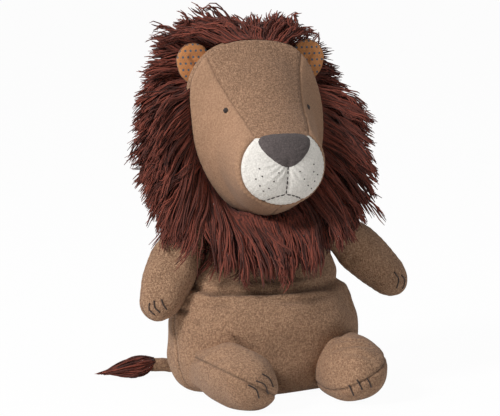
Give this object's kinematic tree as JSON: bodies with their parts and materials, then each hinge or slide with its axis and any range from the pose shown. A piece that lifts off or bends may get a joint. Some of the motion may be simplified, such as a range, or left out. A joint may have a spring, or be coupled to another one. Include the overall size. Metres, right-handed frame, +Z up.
{
  "type": "plush lion",
  "caption": "Seated soft toy lion with a panelled cloth body, a stuffed head, round ears and a long yarn fringe mane; head, arms, legs and tail move.",
  "frame": {"origin": "on the resting surface, in the middle of the seat", "axes": "+Z up, the lion looks along -Y, +X is the lion's left side"},
  "size_m": [0.2543, 0.2044, 0.3119],
  "materials": {
    "brown_cloth": "heather brown brushed cotton and linen weave",
    "filling": "white polyester fibre filling",
    "linen": "off-white linen, lightly puckered",
    "nose_cloth": "dark grey cotton",
    "thread": "dark embroidery thread",
    "dotted_cotton": "orange cotton with small blue-grey pin dots",
    "fringe_yarn": "dark red-brown twisted cotton fringe yarn"
  },
  "bodies": {
    "torso": {"torso_front_panel": "brown_cloth", "torso_back_panel": "brown_cloth", "torso_stuffing": "filling"},
    "neck": {"neck_stuffing": "filling"},
    "head": {"head_centre_gusset": "brown_cloth", "head_right_cheek": "brown_cloth", "head_left_cheek": "brown_cloth", "head_back_panel": "brown_cloth", "head_stuffing": "filling", "muzzle_panel": "linen", "nose_panel": "nose_cloth", "mouth_stitch": "thread", "right_eye": "thread", "left_eye": "thread", "right_ear_lining": "dotted_cotton", "right_ear_back": "brown_cloth", "left_ear_lining": "dotted_cotton", "left_ear_back": "brown_cloth", "mane_face_row": "fringe_yarn", "mane_second_row": "fringe_yarn", "mane_third_row": "fringe_yarn", "mane_back_rows": "fringe_yarn"},
    "right_arm": {"right_arm_front_panel": "brown_cloth", "right_arm_back_panel": "brown_cloth", "right_arm_stuffing": "filling"},
    "left_arm": {"left_arm_front_panel": "brown_cloth", "left_arm_back_panel": "brown_cloth", "left_arm_stuffing": "filling"},
    "right_leg": {"right_leg_upper_panel": "brown_cloth", "right_leg_sole_panel": "brown_cloth", "right_leg_stuffing": "filling"},
    "left_leg": {"left_leg_upper_panel": "brown_cloth", "left_leg_sole_panel": "brown_cloth", "left_leg_stuffing": "filling"},
    "tail": {"tail_cover": "brown_cloth", "tail_tuft": "fringe_yarn"}
  },
  "joints": [
    {"name": "neck_turn", "type": "hinge", "parent": "torso", "child": "neck", "pos_m": [0, 0.008, 0.158], "axis": [0, 0, 1], "range_deg": [-12, 12], "stiffness_Nm_per_rad": 4},
    {"name": "head_nod", "type": "hinge", "parent": "neck", "child": "head", "pos_m": [0, 0.008, 0.158], "axis": [1, 0, 0], "range_deg": [-5, 8], "stiffness_Nm_per_rad": 12},
    {"name": "right_shoulder", "type": "hinge", "parent": "torso", "child": "right_arm", "pos_m": [-0.064, 0.002, 0.138], "axis": [1, 0, 0], "range_deg": [-30, 30], "stiffness_Nm_per_rad": 0.3},
    {"name": "left_shoulder", "type": "hinge", "parent": "torso", "child": "left_arm", "pos_m": [0.064, 0.002, 0.138], "axis": [1, 0, 0], "range_deg": [-30, 30], "stiffness_Nm_per_rad": 0.3},
    {"name": "right_hip", "type": "hinge", "parent": "torso", "child": "right_leg", "pos_m": [-0.05, -0.022, 0.0255], "axis": [1, 0, 0], "range_deg": [0, 40], "stiffness_Nm_per_rad": 0.6},
    {"name": "left_hip", "type": "hinge", "parent": "torso", "child": "left_leg", "pos_m": [0.05, -0.022, 0.0255], "axis": [1, 0, 0], "range_deg": [0, 40], "stiffness_Nm_per_rad": 0.6},
    {"name": "tail_swing", "type": "hinge", "parent": "torso", "child": "tail", "pos_m": [0, 0.057, 0.015], "axis": [0, 0, 1], "range_deg": [-75, 0], "stiffness_Nm_per_rad": 0.05}
  ]
}
